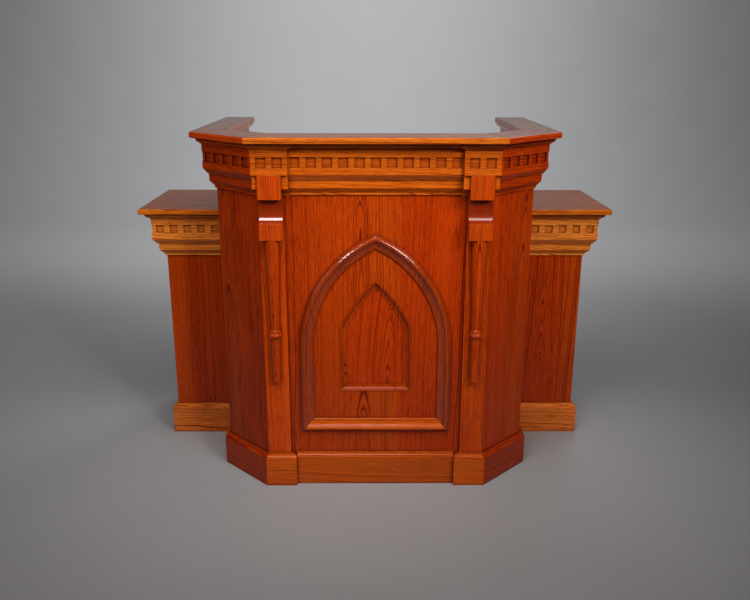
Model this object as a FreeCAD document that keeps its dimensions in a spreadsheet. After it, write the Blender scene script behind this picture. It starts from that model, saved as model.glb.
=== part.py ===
import FreeCAD, Part
import Sketcher
import math
import os
from FreeCAD import Placement, Rotation, Vector

# Winged lectern stand in stained oak: an octagonal-fronted body with a moulded rail, two
# pilasters with brackets and drop columns, a pointed-arch front, and a low wing each side.
# Millimetres, +Z up, front towards -Y, origin at the middle of the footprint on the floor.
# Plan positions are measured back from the pilaster face; heights in the cornice are
# measured down from the top of the body or of the wing.

doc = FreeCAD.newDocument("lectern_stand")
sheet = doc.addObject("Spreadsheet::Sheet", "Dims")


class Dim:
    """A length with its value and the expression that binds it to the sheet."""

    def __init__(self, value, text):
        self.value = float(value)
        self.text = text

    def __add__(self, other):
        o = as_dim(other)
        return Dim(self.value + o.value, f"({self.text} + {o.text})")

    def __sub__(self, other):
        o = as_dim(other)
        return Dim(self.value - o.value, f"({self.text} - {o.text})")

    def __mul__(self, other):
        o = as_dim(other)
        return Dim(self.value * o.value, f"({self.text} * {o.text})")

    def __neg__(self):
        return Dim(-self.value, f"(0 - {self.text})")

    def __radd__(self, other):
        return as_dim(other) + self

    def __rsub__(self, other):
        return as_dim(other) - self

    def __rmul__(self, other):
        return as_dim(other) * self


def as_dim(value):
    if isinstance(value, Dim):
        return value
    text = f"{value:.6f}"
    return Dim(value, f"(0 - {text[1:]})" if value < 0 else text)


def driving(alias, value, note):
    """Adds one driving dimension to the sheet."""
    row = driving.row
    driving.row += 1
    sheet.set(f"A{row}", note)
    sheet.set(f"B{row}", str(value))
    sheet.setAlias(f"B{row}", alias)
    return Dim(value, f"Dims.{alias}")


driving.row = 1

body_top = driving("body_top", 1219, "height of the body")
wing_top = driving("wing_top", 921, "height of the wings")
depth = driving("depth_total", 902, "front nose to the back of the rail")
front_half = driving("front_half", 375, "half width of the front face")
canted = driving("canted_run", 162, "sideways run of a canted face")
body_back = driving("body_back", 812, "back edge of the side panels")
wing_front = driving("wing_front", 425, "front face of a wing")
wing_side = driving("wing_side", 792, "outer face of a wing from the middle")
wing_back = driving("wing_back", 800, "back edge of a wing panel")
wing_cap_back = driving("wing_cap_back", 812, "back edge of a wing top")
board = driving("board_thick", 19, "panel thickness")
cap = driving("cap_thick", 20, "rail and wing top thickness")
over = driving("cap_over", 77, "rail overhang")
setback = driving("panel_setback", 14, "front panel behind the pilaster face")
pilaster = driving("pilaster_wide", 79, "pilaster width")
block_over = driving("block_over", 20, "block past the pilaster on its inner side")
frieze = driving("frieze_thick", 41, "frieze thickness")
frieze_low = driving("frieze_low", 120, "bottom of the frieze face below the top")
crown_low = driving("crown_low", 188, "bottom of the crown below the top")
key_side = driving("key_side", 32, "side of a square sinking")
wing_key = driving("wing_key", 28, "side of a square sinking on a wing")
key_pitch = driving("key_pitch", 51, "pitch of the sinkings")
key_deep = driving("key_deep", 7, "depth of a sinking")
key_top = driving("key_top", 66, "top of the sinkings below the top")
base_out = driving("base_out", 19, "plinth thickness")
base_high = driving("base_high", 120, "plinth height")
shoulder = driving("base_shoulder", 14, "height of the plinth's rounded shoulder")
rail_lip = driving("rail_lip", 22, "rail past the inner wall")
rail_front = driving("rail_front", 85, "inner edge of the front rail")
rail_corner = driving("rail_corner", 355, "inner corner of the front rail")
console = driving("console_wide", 76, "bracket width")
arch_half = driving("arch_half", 257, "half width over the large arch")
arch_spring = driving("arch_spring", 513, "height where the large arch springs")
arch_apex = driving("arch_apex", 902, "height of the large arch's apex")
arch_low = driving("arch_low", 203, "bottom of the large arch's sill")
lancet_half = driving("lancet_half", 121, "half width over the lancet")
lancet_spring = driving("lancet_spring", 572, "height where the lancet springs")
lancet_apex = driving("lancet_apex", 742, "height of the lancet's apex")
lancet_radius = driving("lancet_radius", 405, "radius of the lancet")
lancet_low = driving("lancet_low", 349, "bottom of the lancet")
frame_wide = driving("frame_wide", 12, "width of the lancet frame behind its lip")
lancet_thick = driving("lancet_thick", 7, "thickness of the lancet panel")
bottom_high = driving("bottom_high", 90, "underside of the bottom boards")
shelf_high = driving("shelf_high", 560, "underside of the shelf in the body")
shelf_back = driving("shelf_back", 690, "back edge of the shelf in the body")
wing_shelf_high = driving("wing_shelf_high", 470, "underside of a wing shelf")
shelf_inset = driving("shelf_inset", 12, "boards inside the back edge of the panels")

MITRE_45 = math.tan(math.radians(22.5))  # mitre at a corner that turns 45 degrees
MITRE_90 = 1.0
SQUARE = 0.0
SPARE = 90.0  # extra length cut away at a mitred end
side_half = front_half + canted  # half width over the side panels
face_y = over - depth * 0.5  # pilaster face in the row's frame


def corner_front(out):
    """Corner of front and canted face, offset outwards."""
    return front_half + out * MITRE_45, -as_dim(out)


def corner_side(out):
    """Corner of canted and side face, offset outwards."""
    return side_half + out, canted - out * MITRE_45


def origin_plane(body, role):
    return [f for f in body.Origin.OriginFeatures if f.Role == role][0]


def new_body(name, x=0.0, y=0.0, z=0.0, angle=0.0):
    """A body placed in plan from the pilaster face, turned about the vertical."""
    body = doc.addObject("PartDesign::Body", name)
    body.Label = name
    body.Placement = Placement(Vector(0, 0, 0), Rotation(Vector(0, 0, 1), angle))
    body.setExpression("Placement.Base.x", as_dim(x).text)
    body.setExpression("Placement.Base.y", (face_y + y).text)
    body.setExpression("Placement.Base.z", as_dim(z).text)
    return body


def sketch_on(body, role, offset=0.0):
    sketch = body.newObject("Sketcher::SketchObject", f"{body.Name}_sketch")
    sketch.AttachmentSupport = [(origin_plane(body, role), "")]
    sketch.MapMode = "FlatFace"
    sketch.setExpression("AttachmentOffset.Base.z", as_dim(offset).text)
    return sketch


def arc_between(p, q, radius, side):
    """Minor arc from p to q with its centre left (+1) or right (-1) of the way p to q."""
    middle = (p + q) * 0.5
    along = q - p
    half = along.Length * 0.5
    left = Vector(-along.y, along.x, 0) * (0.5 / half)
    centre = middle + left * (side * math.sqrt(max(radius * radius - half * half, 0.0)))
    first, last = (p, q) if side > 0 else (q, p)
    start = math.atan2(first.y - centre.y, first.x - centre.x)
    end = math.atan2(last.y - centre.y, last.x - centre.x)
    circle = Part.Circle(centre, Vector(0, 0, 1), radius)
    return Part.ArcOfCircle(circle, start, end)


def add_outline(sketch, points, arcs=None):
    """Closed outline through points; arcs maps an edge's index to (radius, side)."""
    arcs = arcs or {}
    points = [(as_dim(x), as_dim(y)) for x, y in points]
    places = [Vector(x.value, y.value, 0) for x, y in points]
    ends = []
    for i, p in enumerate(places):
        q = places[(i + 1) % len(places)]
        if i in arcs:
            radius, side = arcs[i]
            number = sketch.addGeometry(arc_between(p, q, as_dim(radius).value, side))
            ends.append((number, 1, 2) if side > 0 else (number, 2, 1))
        else:
            number = sketch.addGeometry(Part.LineSegment(p, q))
            ends.append((number, 1, 2))
    for i, (number, start, end) in enumerate(ends):
        following = ends[(i + 1) % len(ends)]
        sketch.addConstraint(
            Sketcher.Constraint("Coincident", number, end, following[0], following[1])
        )
    for (number, start, end), (x, y) in zip(ends, points):
        for kind, dim in (("DistanceX", x), ("DistanceY", y)):
            index = sketch.addConstraint(
                Sketcher.Constraint(kind, number, start, dim.value)
            )
            sketch.setExpression(f"Constraints[{index}]", dim.text)
    for i, (radius, side) in arcs.items():
        index = sketch.addConstraint(
            Sketcher.Constraint("Radius", ends[i][0], as_dim(radius).value)
        )
        sketch.setExpression(f"Constraints[{index}]", as_dim(radius).text)


def pad(body, sketch, length):
    feature = body.newObject("PartDesign::Pad", f"{body.Name}_pad")
    feature.Profile = sketch
    feature.Length = as_dim(length).value
    feature.setExpression("Length", as_dim(length).text)
    return feature


def pocket_through(body, sketch):
    feature = body.newObject("PartDesign::Pocket", f"{body.Name}_cut")
    feature.Profile = sketch
    feature.SideType = "Symmetric"
    feature.Type = "ThroughAll"
    return feature


def plan_board(name, points, z, thick, y=0.0, arcs=None):
    """A board cut to a plan outline and given its thickness."""
    body = new_body(name, z=z, y=y)
    sketch = sketch_on(body, "XY_Plane")
    add_outline(sketch, points, arcs)
    pad(body, sketch, thick)
    return body


def mirrored(points):
    return [(-as_dim(x), y) for x, y in reversed(points)]


def run(name, x, y, top, angle, length, profile, start, end, arcs=None):
    """Moulding along a straight run: profile points are (out, down), mitres are slopes."""
    body = new_body(name, x, y, top, angle)
    first = SPARE if start else 0.0
    last = SPARE if end else 0.0
    sketch = sketch_on(body, "YZ_Plane", -first)
    add_outline(sketch, [(-as_dim(t), -as_dim(d)) for t, d in profile], arcs)
    pad(body, sketch, length + first + last)
    reach = SPARE * 2
    for slope, at, sign in ((start, as_dim(0), -1), (end, as_dim(length), 1)):
        if slope == SQUARE:
            continue
        cut = sketch_on(body, "XY_Plane")
        lean = sign * slope * reach
        away = at + sign * 3 * reach
        corners = [(at + lean, -reach), (at - lean, reach), (away, reach), (away, -reach)]
        if sign < 0:
            corners.reverse()
        add_outline(cut, corners)
        pocket_through(body, cut)
    return body


def sink_squares(body, count, first, side=key_side):
    """A row of square sinkings in the face of a run, starting at the first centre."""
    sketch = sketch_on(body, "XZ_Plane", frieze + 1)
    left = first - side * 0.5
    low = -(key_top + side)
    corners = [
        (left, low),
        (left + side, low),
        (left + side, -key_top),
        (left, -key_top),
    ]
    add_outline(sketch, corners)
    cut = body.newObject("PartDesign::Pocket", f"{body.Name}_square")
    cut.Profile = sketch
    cut.Length = (key_deep + 1).value
    cut.setExpression("Length", (key_deep + 1).text)
    pattern = body.newObject("PartDesign::LinearPattern", f"{body.Name}_squares")
    pattern.Originals = [cut]
    pattern.Direction = (sketch, ["H_Axis"])
    pattern.Occurrences = count
    pattern.setExpression("Length", (key_pitch * (count - 1)).text)
    body.Tip = pattern


def joined(name, parts):
    """Mitred lengths of one moulding glued up as one piece."""
    piece = doc.addObject("Part::MultiFuse", name)
    piece.Label = name
    piece.Shapes = parts
    piece.Refine = True
    return piece


def ease(body, picks, radius, name="ease"):
    """Rounds the edges whose midpoints, in the body's own frame, satisfy picks."""
    doc.recompute()
    base = body.Tip
    names = []
    for i, edge in enumerate(base.Shape.Edges):
        middle = edge.CenterOfMass
        if picks(middle, edge):
            names.append(f"Edge{i + 1}")
    fillet = body.newObject("PartDesign::Fillet", f"{body.Name}_{name}")
    fillet.Base = (base, names)
    fillet.Radius = radius
    return fillet


# Cornice profiles, as (out from the panel face, down from the top).
COVE = [
    (0, cap),
    (19, cap),
    (19, cap + 4),
    (17, cap + 4),
    (5, cap + 16),
    (5, cap + 20),
    (0, cap + 20),
]
COVE_ARCS = {3: (12, 1)}
BAND_DEEP = 2  # band that holds the square sinkings, behind the frieze face
FASCIA = frieze_low + 23  # top of the upright face below the frieze
FASCIA_LOW = frieze_low + 44
BEAD = 7  # height of the bead at the bottom of the crown


def band(side=key_side):
    """Front of a frieze with its sunk band, from the rail down to the frieze's edge."""
    return [
        (0, cap),
        (frieze, cap),
        (frieze, key_top - 1),
        (frieze - BAND_DEEP, key_top - 1),
        (frieze - BAND_DEEP, key_top + side + 1),
        (frieze, key_top + side + 1),
        (frieze, frieze_low),
    ]


def crown(out):
    """Undercut and bead that close a cornice below a face standing out that far."""
    return [(out, FASCIA_LOW), (6, crown_low - BEAD), (6, crown_low), (0, crown_low)]


def frieze_profile(side=key_side):
    """Frieze with its band, falling back to a fascia, an undercut and a bead."""
    return band(side) + [(26, FASCIA - 4), (23, FASCIA - 4), (23, FASCIA)] + crown(22)


def base_profile():
    """Plinth with a rounded shoulder, as (out, down) from the top of the plinth."""
    return [
        (0, 0),
        (5, 0),
        (base_out, shoulder),
        (base_out, base_high),
        (0, base_high),
    ]


BASE_ARCS = {1: (14.5, -1)}


SIDES = (("left", -1), ("right", 1))
exports = []


def keep(piece):
    exports.append(piece)
    return piece


# Body panels.
inner_front = setback + board
panel_high = body_top - cap
pilaster_inner = front_half - pilaster


def wall_corner_front(inset):
    """Corner of front and canted walls, inset from the outer faces."""
    return front_half - inset * MITRE_45, as_dim(inset)


def wall_corner_side(inset):
    return side_half - inset, canted + inset * MITRE_45


class Pointed:
    """A pointed arch on two stiles; without a radius its arcs run on from the stiles."""

    def __init__(self, name, radius=None):
        self.half = float(sheet.get(f"{name}_half"))
        self.low = float(sheet.get(f"{name}_low"))
        self.spring = float(sheet.get(f"{name}_spring"))
        self.apex = float(sheet.get(f"{name}_apex"))
        rise = self.apex - self.spring
        self.smooth = radius is None
        self.radius = (self.half**2 + rise**2) / (2 * self.half)
        if radius:
            self.radius = float(sheet.get(radius))
        foot = Vector(self.half, self.spring, 0)
        top = Vector(0, self.apex, 0)
        chord = top - foot
        inward = Vector(-chord.y, chord.x, 0).normalize()
        reach = math.sqrt(self.radius**2 - (chord.Length * 0.5) ** 2)
        centre = (foot + top) * 0.5 + inward * reach
        self.centre_x = centre.x
        self.centre_z = centre.y

    def height(self, x, inset):
        """Height of the arc, inset by that much, over a point across the arch."""
        radius = self.radius - inset
        return self.centre_z + math.sqrt(radius**2 - (x - self.centre_x) ** 2)

    def outline(self, inset):
        """Outline inset all round, with its arcs."""
        edge = self.half - inset
        spring = self.height(edge, inset)
        points = [
            (-edge, self.low + inset),
            (edge, self.low + inset),
            (edge, spring),
            (0, self.height(0, inset)),
            (-edge, spring),
        ]
        return points, {2: (self.radius - inset, 1), 3: (self.radius - inset, 1)}


sheet.recompute()
lancet = Pointed("lancet", "lancet_radius")
arch = Pointed("arch")

front_panel = keep(new_body("front_panel"))
sketch = sketch_on(front_panel, "XZ_Plane", -inner_front)
add_outline(
    sketch,
    [
        (-pilaster_inner, 0),
        (pilaster_inner, 0),
        (pilaster_inner, panel_high),
        (-pilaster_inner, panel_high),
    ],
)
pad(front_panel, sketch, board)
sketch = sketch_on(front_panel, "XZ_Plane")
add_outline(sketch, *lancet.outline(0))
pocket_through(front_panel, sketch)

lancet_panel = keep(new_body("lancet_panel"))
sketch = sketch_on(lancet_panel, "XZ_Plane", -inner_front)
add_outline(sketch, *lancet.outline(frame_wide.value))
pad(lancet_panel, sketch, lancet_thick)

for hand, sign in SIDES:
    flip = mirrored if sign < 0 else list
    outer_front = wall_corner_front(0)
    inner_corner = wall_corner_front(board)
    mitre_end = wall_corner_front(inner_front)
    outer_side = wall_corner_side(0)
    inner_side = wall_corner_side(board)
    pilaster_plan = [
        (pilaster_inner, 0),
        outer_front,
        mitre_end,
        (pilaster_inner, inner_front),
    ]
    canted_plan = [outer_front, outer_side, inner_side, inner_corner]
    side_plan = [
        outer_side,
        (side_half, body_back),
        (side_half - board, body_back),
        inner_side,
    ]
    for label, plan in (
        ("pilaster", pilaster_plan),
        ("canted_panel", canted_plan),
        ("side_panel", side_plan),
    ):
        keep(plan_board(f"{label}_{hand}", flip(plan), 0, panel_high))


# Pointed mouldings: a section swept up the stiles and round the arch, mitred at the
# apex, at the bend and at the foot of each stile.
SPILL = 50.0  # how far a stile runs past a bend
CLEAR = 5.0  # how far a cut clears a corner
FAR = 1500.0  # beyond the whole arch
SLAB_DEEP = 100.0
ARC_SPARE = math.radians(8)  # how far an arc runs past a bend
ARC_SWEEP = 88


def section_face(points, place):
    """Face of a moulding section; a point with a middle closes its edge as an arc."""
    edges = []
    for i, (spot, middle) in enumerate(points):
        following = points[(i + 1) % len(points)][0]
        if middle is None:
            edges.append(Part.makeLine(place(*spot), place(*following)))
        else:
            arc = Part.Arc(place(*spot), place(*middle), place(*following))
            edges.append(arc.toShape())
    return Part.Face(Part.Wire(edges))


def slab(wire):
    """Prism on an outline in the XZ plane, deep enough to cut a moulding."""
    face = Part.Face(wire)
    face.translate(Vector(0, -SLAB_DEEP, 0))
    return face.extrude(Vector(0, 2 * SLAB_DEEP, 0))


def wedge(corners):
    return slab(Part.makePolygon([Vector(x, 0, z) for x, z in corners + corners[:1]]))


def within(shape):
    """Prism on the outer outline of a pointed arch."""
    corners, arcs = shape.outline(0)
    spots = [Vector(x, 0, z) for x, z in corners]
    edges = []
    for i, spot in enumerate(spots):
        following = spots[(i + 1) % len(spots)]
        if i in arcs:
            x = (spot.x + following.x) * 0.5
            z = shape.height(abs(x), 0)
            edges.append(Part.Arc(spot, Vector(x, 0, z), following).toShape())
        else:
            edges.append(Part.makeLine(spot, following))
    return slab(Part.Wire(edges))


def flipped(shape):
    return shape.mirror(Vector(0, 0, 0), Vector(1, 0, 0))


def pointed_sides(points, shape):
    """Both stiles and both arcs of a pointed moulding, in one piece.

    Where the arcs bend away from the stiles, both run past the bend and past the outline,
    and the outline trims them: the section falls inwards, so that leaves the mitre.
    """
    half = shape.half
    spill = 0.0 if shape.smooth else SPILL
    if not shape.smooth:
        points = [((o if o else -CLEAR, p), middle) for (o, p), middle in points]
    top = shape.spring + spill
    face = section_face(points, lambda o, p: Vector(half - o, -p, top))
    stile = face.extrude(Vector(0, 0, shape.low - CLEAR - top))
    low = shape.low - CLEAR
    foot = [(half + CLEAR, low), (half - FAR, shape.low + FAR), (half - FAR, low)]
    stile = stile.cut(wedge(foot))
    centre = Vector(shape.centre_x, 0, shape.centre_z)
    start = math.atan2(shape.spring - centre.z, half - centre.x)
    if not shape.smooth:
        start -= ARC_SPARE

    def on_arc(o, p):
        radius = shape.radius - o
        return centre + Vector(radius * math.cos(start), -p, radius * math.sin(start))

    arc = section_face(points, on_arc).revolve(centre, Vector(0, -1, 0), ARC_SWEEP)
    arc = arc.cut(wedge([(0, 0), (-FAR, 0), (-FAR, FAR), (0, FAR)]))
    side = stile.fuse(arc)
    if not shape.smooth:
        side = side.common(within(shape))
    return side.fuse(flipped(side)).removeSplitter()


def pointed_sill(points, shape):
    """Bottom rail of a pointed moulding, mitred at both ends."""
    half = shape.half
    low = shape.low
    reach = half * 0.5
    face = section_face(points, lambda o, p: Vector(-half, -p, low + o))
    rail = face.extrude(Vector(2 * half, 0, 0))
    end = [
        (half + CLEAR, low - CLEAR),
        (half + CLEAR, low + reach),
        (half - reach, low + reach),
    ]
    cut = wedge(end)
    return rail.cut(cut).cut(flipped(cut)).removeSplitter()


def set_shape(name, shape, back):
    piece = doc.addObject("Part::Feature", name)
    piece.Label = name
    piece.Shape = shape
    piece.Placement = Placement()
    piece.setExpression("Placement.Base.y", (face_y + back).text)
    return piece


ARCH_SECTION = [
    ((0, 0), None),
    ((0, 5), None),
    ((3, 6), None),
    ((4, 12), (6.5, 18.5)),
    ((12, 21), (17, 20)),
    ((20, 16.5), (28, 9.5)),
    ((38, 6.5), (41.5, 7)),
    ((45, 4), None),
    ((45, 0), None),
]
keep(set_shape("arch_moulding", pointed_sides(ARCH_SECTION, arch), setback))
keep(set_shape("arch_sill", pointed_sill(ARCH_SECTION, arch), setback))
lip = frame_wide.value
foot = board.value
seat = (board - lancet_thick).value
LANCET_SECTION = [
    ((0, 2), None),
    ((4, 2), None),
    ((6, -1), (13, -7.5)),
    ((20, -10), None),
    ((22, -10), None),
    ((22, -seat), None),
    ((lip, -seat), None),
    ((lip, -foot), None),
    ((0, -foot), None),
]
lancet_rail = pointed_sill(LANCET_SECTION, lancet)
lancet_frame = pointed_sides(LANCET_SECTION, lancet).fuse(lancet_rail).removeSplitter()
keep(set_shape("lancet_frame", lancet_frame, setback))

# Cornice of the body: frieze boards, blocks over the pilasters, coves under the rail.
block_inner = pilaster_inner - block_over
canted_long = canted * math.sqrt(2)
side_long = body_back - canted

front_frieze = keep(
    run(
        "frieze_front",
        -block_inner,
        setback,
        body_top,
        0,
        block_inner * 2,
        frieze_profile(),
        SQUARE,
        SQUARE,
    )
)
sink_squares(front_frieze, 11, block_inner - key_pitch * 5)

BLOCK_STEP = 34  # lower tier of a block
BLOCK = band() + [(BLOCK_STEP, frieze_low)] + crown(BLOCK_STEP)
block_long = front_half - block_inner
block_middle = (block_long + frieze * MITRE_45) * 0.5
left_block = run(
    "frieze_block_left", -front_half, 0, body_top, 0, block_long, BLOCK, MITRE_45, SQUARE
)
sink_squares(left_block, 2, block_long - block_middle - key_pitch * 0.5)
right_block = run(
    "frieze_block_right", block_inner, 0, body_top, 0, block_long, BLOCK, SQUARE, MITRE_45
)
sink_squares(right_block, 2, block_middle - key_pitch * 0.5)
keep(left_block)
keep(right_block)

canted_left = run(
    "frieze_canted_left",
    -side_half,
    canted,
    body_top,
    -45,
    canted_long,
    frieze_profile(),
    MITRE_45,
    MITRE_45,
)
canted_right = run(
    "frieze_canted_right",
    front_half,
    0,
    body_top,
    45,
    canted_long,
    frieze_profile(),
    MITRE_45,
    MITRE_45,
)
for piece in (canted_left, canted_right):
    sink_squares(piece, 5, canted_long * 0.5 - key_pitch * 2)
    keep(piece)
side_left = run(
    "frieze_side_left",
    -side_half,
    body_back,
    body_top,
    -90,
    side_long,
    frieze_profile(),
    SQUARE,
    MITRE_45,
)
side_right = run(
    "frieze_side_right",
    side_half,
    canted,
    body_top,
    90,
    side_long,
    frieze_profile(),
    MITRE_45,
    SQUARE,
)
lean = frieze * MITRE_45 * 0.5
sink_squares(side_left, 12, side_long * 0.5 + lean - key_pitch * 5.5)
sink_squares(side_right, 12, side_long * 0.5 - lean - key_pitch * 5.5)
keep(side_left)
keep(side_right)

# The cove steps forward with the blocks, so its front is five mitred lengths.
face_x, face_front = corner_front(frieze)
cove_front = []
for number, (x, y, angle, length, start, end) in enumerate(
    (
        (-face_x, face_front, 0, face_x - block_inner, MITRE_45, MITRE_90),
        (-block_inner, face_front, 90, setback, MITRE_90, -MITRE_90),
        (-block_inner, face_front + setback, 0, block_inner * 2, -MITRE_90, -MITRE_90),
        (block_inner, face_front + setback, -90, setback, -MITRE_90, MITRE_90),
        (block_inner, face_front, 0, face_x - block_inner, MITRE_90, MITRE_45),
    )
):
    cove_front.append(
        run(f"cove_length_{number}", x, y, body_top, angle, length, COVE, start, end, COVE_ARCS)
    )
keep(joined("cap_cove_front", cove_front))

face_side, face_bend = corner_side(frieze)
cove_canted = canted_long + frieze * MITRE_45 * 2
cove_side = body_back - face_bend
for label, x, y, angle, length, start, end in (
    ("cap_cove_canted_left", -face_side, face_bend, -45, cove_canted, MITRE_45, MITRE_45),
    ("cap_cove_canted_right", face_x, face_front, 45, cove_canted, MITRE_45, MITRE_45),
    ("cap_cove_side_left", -face_side, body_back, -90, cove_side, SQUARE, MITRE_45),
    ("cap_cove_side_right", face_side, face_bend, 90, cove_side, MITRE_45, SQUARE),
):
    keep(run(label, x, y, body_top, angle, length, COVE, start, end, COVE_ARCS))

# Rail: five mitred boards with a rounded nose.
NOSE_TOP = 5
NOSE_UNDER = 3
nose_front = corner_front(over)
nose_side = corner_side(over)
rail_inner_x = side_half - board - rail_lip
rail_bend = rail_front + (rail_inner_x - rail_corner)
rail_back = depth - over


def rail_board(name, plan):
    """A rail board whose first plan edge is its outer nose and third its inner one."""
    body = plan_board(name, plan, body_top - cap, cap)
    spots = [Vector(as_dim(x).value, as_dim(y).value, 0) for x, y in plan]
    outer = (spots[0] + spots[1]) * 0.5
    inner = (spots[2] + spots[3]) * 0.5

    def near(spot, z):
        return lambda middle, edge: (
            abs(middle.z - z) < 0.1 and (middle - spot - Vector(0, 0, z)).Length < 1
        )

    ease(body, near(outer, cap.value), NOSE_TOP, "top")
    ease(body, near(outer, 0), NOSE_UNDER, "under")
    ease(body, near(inner, cap.value), NOSE_TOP, "inner")
    return keep(body)


rail_board(
    "cap_front",
    [
        (-nose_front[0], nose_front[1]),
        nose_front,
        (rail_corner, rail_front),
        (-rail_corner, rail_front),
    ],
)
canted_rail = [
    nose_front,
    nose_side,
    (rail_inner_x, rail_bend),
    (rail_corner, rail_front),
]
arm_rail = [
    nose_side,
    (nose_side[0], rail_back),
    (rail_inner_x, rail_back),
    (rail_inner_x, rail_bend),
]


def swapped(plan):
    """Mirror image of a four-sided plan that keeps its outer edge first."""
    a, b, c, d = plan
    return [(-as_dim(x), y) for x, y in (b, a, d, c)]


rail_board("cap_canted_left", swapped(canted_rail))
rail_board("cap_canted_right", canted_rail)
rail_board("cap_arm_left", swapped(arm_rail))
rail_board("cap_arm_right", arm_rail)

# Cove under the inner lip of the rail, all round the well.
LIP_COVE = [(0, cap), (19, cap), (19, cap + 2), (3, cap + 17), (0, cap + 17)]
LIP_ARCS = {2: (17, 1)}
well_x = side_half - board
well_front = rail_front - rail_lip
diagonal = rail_corner - rail_front + rail_lip * math.sqrt(2)
well_bend = well_x - diagonal
well_corner = well_front + diagonal
well_canted = (well_x - well_corner) * math.sqrt(2)
well_side = body_back - well_bend
lip = []
for number, (x, y, angle, length, start, end) in enumerate(
    (
        (well_x, body_back, -90, well_side, SQUARE, -MITRE_45),
        (well_x, well_bend, -135, well_canted, -MITRE_45, -MITRE_45),
        (well_corner, well_front, 180, well_corner * 2, -MITRE_45, -MITRE_45),
        (-well_corner, well_front, 135, well_canted, -MITRE_45, -MITRE_45),
        (-well_x, well_bend, 90, well_side, -MITRE_45, SQUARE),
    )
):
    lip.append(
        run(
            f"lip_length_{number}",
            x,
            y,
            body_top,
            angle,
            length,
            LIP_COVE,
            start,
            end,
            LIP_ARCS,
        )
    )
keep(joined("rail_lip_cove", lip))

# Plinth.
base_front = run(
    "base_front",
    -block_inner,
    setback,
    base_high,
    0,
    block_inner * 2,
    base_profile(),
    SQUARE,
    SQUARE,
    BASE_ARCS,
)
keep(base_front)
for hand, sign in SIDES:
    start_x = -front_half if sign < 0 else block_inner
    start, end = (MITRE_45, SQUARE) if sign < 0 else (SQUARE, MITRE_45)
    profile = base_profile()
    name = f"base_block_{hand}"
    block = run(name, start_x, 0, base_high, 0, block_long, profile, start, end, BASE_ARCS)
    cut = sketch_on(block, "XZ_Plane")
    if sign < 0:
        corner = [(block_long, -shoulder), (block_long, 0), (block_long - shoulder, 0)]
    else:
        corner = [(0, 0), (0, -shoulder), (shoulder, 0)]
    add_outline(cut, corner)
    pocket_through(block, cut)
    keep(block)
base_side_long = wing_front - base_out - canted
plinth_left = joined(
    "base_return_left",
    [
        run(
            "base_side_length_left",
            -side_half,
            wing_front - base_out,
            base_high,
            -90,
            base_side_long,
            base_profile(),
            SQUARE,
            MITRE_45,
            BASE_ARCS,
        ),
        run(
            "base_canted_length_left",
            -side_half,
            canted,
            base_high,
            -45,
            canted_long,
            base_profile(),
            MITRE_45,
            MITRE_45,
            BASE_ARCS,
        ),
    ],
)
plinth_right = joined(
    "base_return_right",
    [
        run(
            "base_side_length_right",
            side_half,
            canted,
            base_high,
            90,
            base_side_long,
            base_profile(),
            MITRE_45,
            SQUARE,
            BASE_ARCS,
        ),
        run(
            "base_canted_length_right",
            front_half,
            0,
            base_high,
            45,
            canted_long,
            base_profile(),
            MITRE_45,
            MITRE_45,
            BASE_ARCS,
        ),
    ],
)
keep(plinth_left)
keep(plinth_right)

# Brackets and drop columns on the pilasters.
pilaster_middle = front_half - pilaster * 0.5
console_top = body_top - frieze_low
console_mid = body_top - FASCIA_LOW
crown_foot = body_top - crown_low
CONSOLE_LOW = 890
CONSOLE_OUT = 42
CONSOLE = [
    (BLOCK_STEP, console_top),
    (BLOCK_STEP, console_mid),
    (6, crown_foot + BEAD),
    (6, crown_foot),
    (0, crown_foot),
    (0, CONSOLE_LOW),
    (38, CONSOLE_LOW),
    (38, 944),
    (14, 975),
    (14, 1022),
    (CONSOLE_OUT, 1022),
    (CONSOLE_OUT, console_top),
]
CONSOLE_ARCS = {7: (32, 1)}
COLUMN = [
    (0, CONSOLE_LOW),
    (0, 396),
    (14, 396),
    (15, 398),
    (15, 552),
    (17, 554),
    (20, 559),
    (20, 569),
    (17, 574),
    (17, 580),
    (14, 584),
    (15, 600),
    (24, CONSOLE_LOW),
]
COLUMN_ARCS = {6: (7.5, 1)}
COLUMN_AXIS = 14  # the column's axis in front of the pilaster face
for hand, sign in SIDES:
    x = pilaster_middle * sign - console * 0.5
    bracket = new_body(f"console_{hand}", x=x)
    sketch = sketch_on(bracket, "YZ_Plane")
    add_outline(sketch, [(-out, z) for out, z in CONSOLE], CONSOLE_ARCS)
    pad(bracket, sketch, console)
    keep(bracket)

    column = new_body(f"drop_column_{hand}", x=pilaster_middle * sign, y=-COLUMN_AXIS)
    sketch = sketch_on(column, "XZ_Plane")
    add_outline(sketch, COLUMN, COLUMN_ARCS)
    turned = column.newObject("PartDesign::Revolution", f"{column.Name}_turned")
    turned.Profile = sketch
    turned.ReferenceAxis = (sketch, ["V_Axis"])
    turned.Angle = 360
    back = sketch_on(column, "XY_Plane")
    far = COLUMN_AXIS * 4
    flat = [(-far, COLUMN_AXIS), (far, COLUMN_AXIS), (far, far), (-far, far)]
    add_outline(back, flat)
    pocket_through(column, back)
    keep(column)

# Inside the body: a desk that slopes down towards the speaker, its book stop and cleats.
DESK_TILT = 12
DESK_LONG = 571  # along the slope
DESK_FRONT = 60  # behind the pilaster face
DESK_HIGH = 1146  # underside of the desk at its front edge
DESK_NOSE = 406  # half width where it meets the canted walls
DESK_BEND = 114  # where it reaches its full width
STOP_LIP = 22
CLEAT = 25
CLEAT_REACH = (140, 550)  # from the desk's front edge


def tilted_board(name, points, thick, offset=0.0):
    """A board lying on the desk's slope, with its outline given along the slope."""
    body = new_body(name, y=DESK_FRONT, z=DESK_HIGH)
    body.Placement = Placement(Vector(), Rotation(Vector(1, 0, 0), -DESK_TILT))
    sketch = sketch_on(body, "XY_Plane", offset)
    add_outline(sketch, points)
    pad(body, sketch, thick)
    return body


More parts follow.
